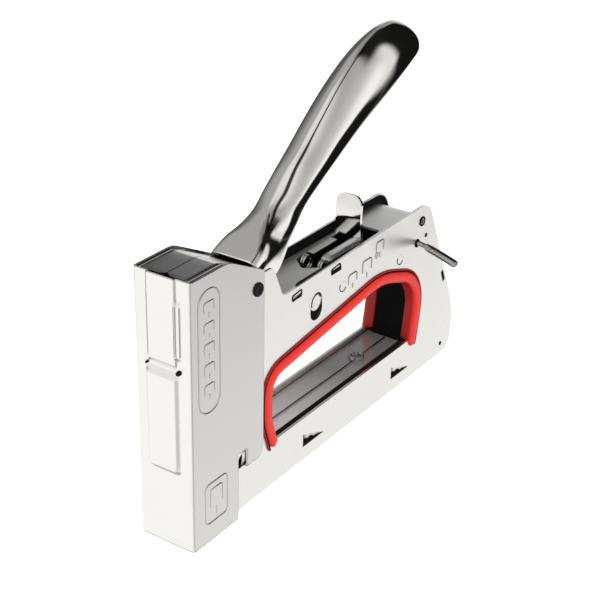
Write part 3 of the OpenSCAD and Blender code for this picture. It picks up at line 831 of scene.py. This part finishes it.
ROD_R = 1.05
TAB_START = -15.5                   # from here outwards the rod is flattened into a finger tab
rod = smooth_path([(154.2, 8, 68.2), (154.2, 0, 68.2), (154.2, -11.5, 68.2), (154.4, -14.0, 68.0),
                   (154.9, -17, 67.0), (155.4, -20, 65.9), (156.2, -25, 63.9), (156.8, -28.6, 62.3)], 6)
thick = [ROD_R if p[1] > TAB_START else 1.6 for p in rod]
wide = [ROD_R if p[1] > TAB_START else min(ROD_R + (TAB_START - p[1]) * 0.45, 2.0) for p in rod]
# painted reflection: the release wire takes the darkened wire colour
tube("release_wire", rod, thick, DARK_WIRE, sides=20, flat=wide, body="release_lever",
     replaces=("magazine_release_lever",))


# ---------------------------------------------------------------- pieces in the strap's slot

RAIL_TOP = side_of("latch_spring", 2, True) - 0.25
rail = [(x, -3.9, RAIL_TOP - drop) for x, drop in ((95.5, 0.6), (97, 0.1), (100, 0), (108, 0), (116.4, 0))]
rail = smooth_path(rail, 4)
tube("slot_rail", rail, 1.3, STRAP, sides=20, flat=[2.5] * len(rail))
outline = [(97.5, RAIL_TOP - 1.1), (114.4, RAIL_TOP - 1.1), (114.4, RAIL_TOP - 0.2), (97.5, RAIL_TOP - 0.2)]
soften(add("slot_edge", *plate([outline], 3.2, 6.45), STRAP), 0.25)
for side, word in SIDES:
    # painted shade: dark strip for the seam between the strap and the plate
    inner = 8.6 if side == FAR else 10.4
    seam = [[(x, side * y, STRAP_TOP + 0.05 - fall_at(x)) for y in (inner, 11.2)]
            for x in (56, 80, 100, 116, 124)]
    add("strap_gap_shade_" + word, *grid(seam), SHADOW, angle=60)
    # folded inner edge of the nose's cheeks
    fold = [(1.6, 104), (1.6, NOSE_H - 0.3), (19.2, NOSE_H - 0.3), (26, NOSE_H - 3), (26, 100)]
    soften(add("cheek_fold_" + word, *plate([fold], side * 10.3, side * 10.8), NICKEL), 0.1)


# ---------------------------------------------------------------- small raised marks

def staple_icon(x0, x1, z0, z1):
    """Inverted U with a short drop below it."""
    mid = (x0 + x1) / 2
    base = z0 + (z1 - z0) * 0.38
    u = [(x0, base), (x0, z1 - 0.9), (x0 + 0.3, z1 - 0.3), (x0 + 0.9, z1),
         (x1 - 0.9, z1), (x1 - 0.3, z1 - 0.3), (x1, z1 - 0.9), (x1, base)]
    drop = [(mid, z0 + (z1 - z0) * 0.26), (mid, z0)]
    return [u, drop]


def marks(name, paths, y, radius, material, closed=False):
    """Raised lines on a side face at y."""
    parts = [tube_mesh([(x, y, z) for x, z in path], radius, 8, closed) for path in paths]
    return add(name, *join(parts), material, angle=60)


ICON_BOXES = ((100.2, 106.4, 67.3, 73.3), (110.6, 117.2, 67.6, 75.4), (120.6, 126.2, 73.2, 80.2))
ICON_PITCH = 8                      # between the five icons on each cheek
plate_icons = [path for box in ICON_BOXES for path in staple_icon(*box)]
cheek_icons = [path for k in range(5)
               for path in staple_icon(7.4, 13, 60.6 + ICON_PITCH * k, 66.4 + ICON_PITCH * k)]
ring = rounded([(4.2, 55, 5.5), (4.2, 103, 5.5), (16.2, 103, 5.5), (16.2, 55, 5.5)], 8)
square = rounded([(7, 8, 2.2), (7, 25, 2.2), (20, 25, 2.2), (20, 8, 2.2)], 6)
for side, word in SIDES:
    marks("plate_icons_" + word, plate_icons, side * PLATE_OUT, 0.3, STROKE)
    marks("cheek_ring_" + word, [ring], side * HALF_W, 0.3, CHEEK_SHADED, True)
    marks("cheek_icons_" + word, cheek_icons, side * HALF_W, 0.24, CHEEK_SHADED)
    marks("cheek_square_" + word, [square], side * HALF_W, 0.28, CHEEK_SHADED, True)
    marks("cheek_staple_" + word, staple_icon(10, 17, 10.5, 22.2), side * HALF_W, 0.24, CHEEK_SHADED)
    # painted shadow: dark rings in the gaps round the studs, the strap's tabs and the rivets
    y = side * (PLATE_OUT + 0.02)
    for k, at in enumerate(((96.2, 70.4), (140.5, 65.6))):
        tube("stud_shade_ring_%s_%d" % (word, k), ring_arc(at, y, 2.3, 150, 330), 0.17, SHADOW, sides=8)
    for k, (x, z) in enumerate(((61.2, 77.5), (87.6, 78.4))):
        outline = rounded([(x, z, 0.5), (x, z + 2.2, 0.5), (x + 6, z + 3.0, 0.5), (x + 6, z + 0.8, 0.5)], 4)
        outline = [(a, y, b) for a, b in outline]
        tube("tab_shade_edge_%s_%d" % (word, k), outline, 0.28, SHADOW, sides=8, closed=True)
    tube("rivet_shade_ring_" + word, ring_arc((157.6, 77.1), y, 1.75, 0, 345, 36), 0.5, SHADOW, sides=8)

# painted shadow: dark rings round the cross pin and round the hole of the release wire
y = -PLATE_OUT - 0.03
tube("pin_shade_ring", ring_arc(CROSS_PIN, y, 3.3, 20, 200), 0.22, SHADOW, sides=8)
tube("release_shade_ring", ring_arc((154.3, 68.1), y, 1.5, 0, 345, 36), 0.4, SHADOW, sides=8)


# ---------------------------------------------------------------- pushed-in louvers and tab

LOUVER_LEN, LOUVER_TOP, LOUVER_FOOT = 15, 15, 8.7
LOUVER_SHEET = 0.4
TAB_FOOT, TAB_H = 21.5, 7
TAB_SHEET = 0.6


def louver(x, side):
    """Tongue pressed in behind the plate, deepest and longest at its front end x."""
    rows = []
    for k in range(7):
        t = k / 6
        top_z = LOUVER_TOP - 3.5 * min(t / 0.6, 1) - 2.5 * max((t - 0.6) / 0.4, 0)
        reach = 0.52 + 0.14 * math.sin(k * 2.4)
        row = []
        for j in range(5):
            f = j / 4
            depth = 0.7 * math.sin(f * math.pi / 2) * (1 - t) ** 0.6
            row.append((x + LOUVER_LEN * t + (1.6 - 1.8 * t) * f, side * (PLATE_OUT - 0.15 - depth),
                        top_z + (LOUVER_FOOT - top_z) * f * reach))
        rows.append(row)
    return grid(rows)


def side_tab(side):
    """Narrow tongue beside the foot, bulging a little out of the plate."""
    rows = []
    for k in range(6):
        t = k / 5
        y = side * (PLATE_OUT - 0.5 + 0.5 * math.sin(math.pi * t) + 0.5 * t)
        rows.append([(x, y, TAB_FOOT + TAB_H * t) for x in np.linspace(29.9, 31.7, 5)])
    return grid(rows)


for side, word in SIDES:
    pair = join([louver(70.9, side), louver(138.4, side)])
    thicken(add("louvers_" + word, *pair, NICKEL, angle=60), LOUVER_SHEET)
    thicken(add("side_tab_" + word, *side_tab(side), NICKEL, angle=60), TAB_SHEET)


# ---------------------------------------------------------------- pivot bolt with its washer

def turned(profile, at, side, count=48):
    """Solid of revolution around y through [x, z]; profile is (radius, y) from the centre out."""
    rows = []
    for k in range(count):
        a = 2 * math.pi * k / count
        rows.append([(at[0] + r * math.cos(a), side * y, at[1] + r * math.sin(a)) for r, y in profile])
    rows.append(rows[0])
    return grid(rows)


NEAR_HEAD = [(0.01, 0.45), (1.1, 0.45), (1.4, 0.9), (2.0, 0.95), (2.5, 0.75), (2.7, 0.3), (2.75, 0)]
FAR_HEAD = [(0.01, 1.2), (2.0, 1.2), (2.4, 1.0), (2.45, 0)]
bolt = join([turned([(r, HALF_W + out) for r, out in NEAR_HEAD], PIVOT, NEAR),
             turned([(r, HALF_W + out) for r, out in FAR_HEAD], PIVOT, FAR),
             turned([(2.45, -HALF_W), (2.45, HALF_W)], PIVOT, FAR)])
add("pivot_head", *bolt, BLACK_STEEL, replaces=("pivot_bolt",), angle=40)


# ---------------------------------------------------------------- stage, light and camera

def stage():
    """Pale floor that glows a little, so that it stays lighter than the metal."""
    mesh = bpy.data.meshes.new("floor")
    s = 9
    mesh.from_pydata([(-s, -s, 0), (s, -s, 0), (s, s, 0), (-s, s, 0)], [], [(0, 1, 2, 3)])
    o = bpy.data.objects.new("floor", mesh)
    m = new_material("pale_floor", (0.93, 0.93, 0.925), 0.85, 0, 0.006, 0.03, 300, EVEN, 0.02, 3)
    mesh.materials.append(m)
    bpy.context.scene.collection.objects.link(o)
    o.visible_glossy = False
    shader = m.node_tree.nodes["Principled BSDF"]
    shader.inputs["Emission Color"].default_value = (1, 1, 1, 1)
    shader.inputs["Emission Strength"].default_value = 0.35


def area(name, at, target, size, power):
    """Soft lamp that the metal does not mirror."""
    lamp = bpy.data.lights.new(name, "AREA")
    lamp.shape = "RECTANGLE"
    lamp.size, lamp.size_y = size
    lamp.energy = power
    o = bpy.data.objects.new(name, lamp)
    o.location = at
    o.rotation_mode = "QUATERNION"
    o.rotation_quaternion = (Vector(target) - Vector(at)).to_track_quat("-Z", "Y")
    o.visible_glossy = False
    bpy.context.scene.collection.objects.link(o)


def window(t, value, rise, fall):
    """1 where value lies between the two soft edges, 0 outside them."""
    out = None
    for (low, high), (start, end) in ((rise, (0, 1)), (fall, (1, 0))):
        edge = node(t, "ShaderNodeMapRange", interpolation_type="SMOOTHSTEP")
        edge.inputs["From Min"].default_value = low
        edge.inputs["From Max"].default_value = high
        edge.inputs["To Min"].default_value = start
        edge.inputs["To Max"].default_value = end
        t.links.new(value, edge.inputs["Value"])
        out = edge.outputs[0] if out is None else maths(t, "MULTIPLY", out, edge.outputs[0])
    return out


def maths(t, operation, a, b=None):
    """Output of a math node on numbers or sockets."""
    n = node(t, "ShaderNodeMath", operation=operation)
    for socket, value in zip(n.inputs, (a, b)):
        if isinstance(value, (int, float)):
            socket.default_value = value
        elif value is not None:
            t.links.new(value, socket)
    return n.outputs[0]


# soft edges that lie beyond every angle, for a flag without that edge
NO_START, NO_END = (-400, -399), (400, 401)


def world():
    """Soft surroundings: bright sides, and black flags that give the chrome its contrast.
    Each flag is (azimuth rise, azimuth fall, elevation rise, elevation fall, strength, light)."""
    w = bpy.data.worlds.new("studio")
    bpy.context.scene.world = w
    w.use_nodes = True
    t = w.node_tree
    back = t.nodes["Background"]
    where = node(t, "ShaderNodeTexCoord")
    split = node(t, "ShaderNodeSeparateXYZ")
    t.links.new(where.outputs["Generated"], split.inputs[0])
    degrees = 180 / math.pi
    azimuth = maths(t, "MULTIPLY", maths(t, "ARCTAN2", split.outputs[1], split.outputs[0]), degrees)
    elevation = maths(t, "MULTIPLY", maths(t, "ARCSINE", split.outputs[2]), degrees)
    level = None
    light = 0.85
    flags = [
        (NO_START, NO_END, NO_START, (-16, -14), 1.0, 1.02),
        ((-140, -100), (-60, -50), (12, 66), NO_END, 0.62, 0.2),
        (NO_START, NO_END, (70, 84), NO_END, 0.7, 0.25),
        ((-5, 20), (58, 80), (14, 30), NO_END, 0.85, 0.22),
        ((58, 70), (96, 124), (-30, -20), (75, 85), 0.95, 0.40),
        ((36, 44), (58, 82), (-32, -24), (20, 50), 0.95, 0.07),
        ((-50, -41), (2, 14), (-20, -14), NO_END, 1.0, 0.008),
        ((-80, -60), (15, 45), (42, 56), (72, 82), 1.0, 0.012),
        ((-150, -136), (-108, -96), (-44, -36), (-12, -4), 1.0, 0.55),
        (NO_START, NO_END, NO_START, (-58, -44), 0.8, 0.3),
        ((-118, -106), (-62, -52), (4, 14), (24, 42), 1.0, 1.05),
    ]
    for a1, a2, e1, e2, strength, value in flags:
        mask = maths(t, "MULTIPLY", window(t, azimuth, a1, a2), window(t, elevation, e1, e2))
        mask = maths(t, "MULTIPLY", mask, strength)
        keep = maths(t, "SUBTRACT", 1.0, mask)
        level = maths(t, "ADD", maths(t, "MULTIPLY", light if level is None else level, keep),
                      maths(t, "MULTIPLY", mask, value))
    # dark strip above the object, seen in the upward faces
    strip = maths(t, "MULTIPLY", window(t, split.outputs[1], (-0.27, -0.22), (-0.14, -0.09)),
                  window(t, split.outputs[0], (-0.8, -0.6), (0.2, 0.35)))
    strip = maths(t, "MULTIPLY", strip, window(t, elevation, (25, 35), NO_END))
    level = maths(t, "MULTIPLY", level, maths(t, "SUBTRACT", 1.0, maths(t, "MULTIPLY", strip, 0.96)))
    # slanted black band that draws the dark line along the handle's near side
    slant = maths(t, "ADD", elevation, maths(t, "MULTIPLY", azimuth, 0.62))
    band = maths(t, "MULTIPLY", window(t, slant, (-50, -45), (-33, -28)),
                 window(t, azimuth, (-125, -110), (-46, -40)))
    level = maths(t, "MULTIPLY", level, maths(t, "SUBTRACT", 1.0, maths(t, "MULTIPLY", band, 0.99)))
    t.links.new(level, back.inputs["Strength"])
    back.inputs["Color"].default_value = (1, 0.995, 0.985, 1)


stage()
world()
area("key", (-0.5, -0.8, 0.9), (0.06, 0, 0.06), (1.0, 1.0), 12)
area("fill", (0.9, -0.6, 0.8), (0.08, 0, 0.06), (1.0, 1.0), 5)
sun = bpy.data.objects.new("sky", bpy.data.lights.new("sky", "SUN"))
sun.data.energy = 1.9
sun.data.angle = math.radians(70)
sun.rotation_euler = (math.radians(24), math.radians(-14), 0)
sun.visible_glossy = False
bpy.context.scene.collection.objects.link(sun)

azimuth, elevation, roll = math.radians(-56.06), math.radians(26.44), math.radians(1.254)
level = math.cos(elevation)
back = Vector((math.sin(azimuth) * level, -math.cos(azimuth) * level, math.sin(elevation)))
right = (-back).cross(Vector((0, 0, 1))).normalized()
up = right.cross(-back)
right, up = right * math.cos(roll) + up * math.sin(roll), up * math.cos(roll) - right * math.sin(roll)
camera = bpy.data.objects.new("camera", bpy.data.cameras.new("camera"))
camera.data.lens = 82.41
camera.data.sensor_width = 36
camera.data.clip_start = 0.01
pose = Matrix((right, up, back)).transposed().to_4x4()
pose.translation = (-0.32905, -0.2687, 0.3052)
camera.matrix_world = pose
bpy.context.scene.collection.objects.link(camera)
bpy.context.scene.camera = camera
bpy.context.scene.view_settings.view_transform = "Standard"
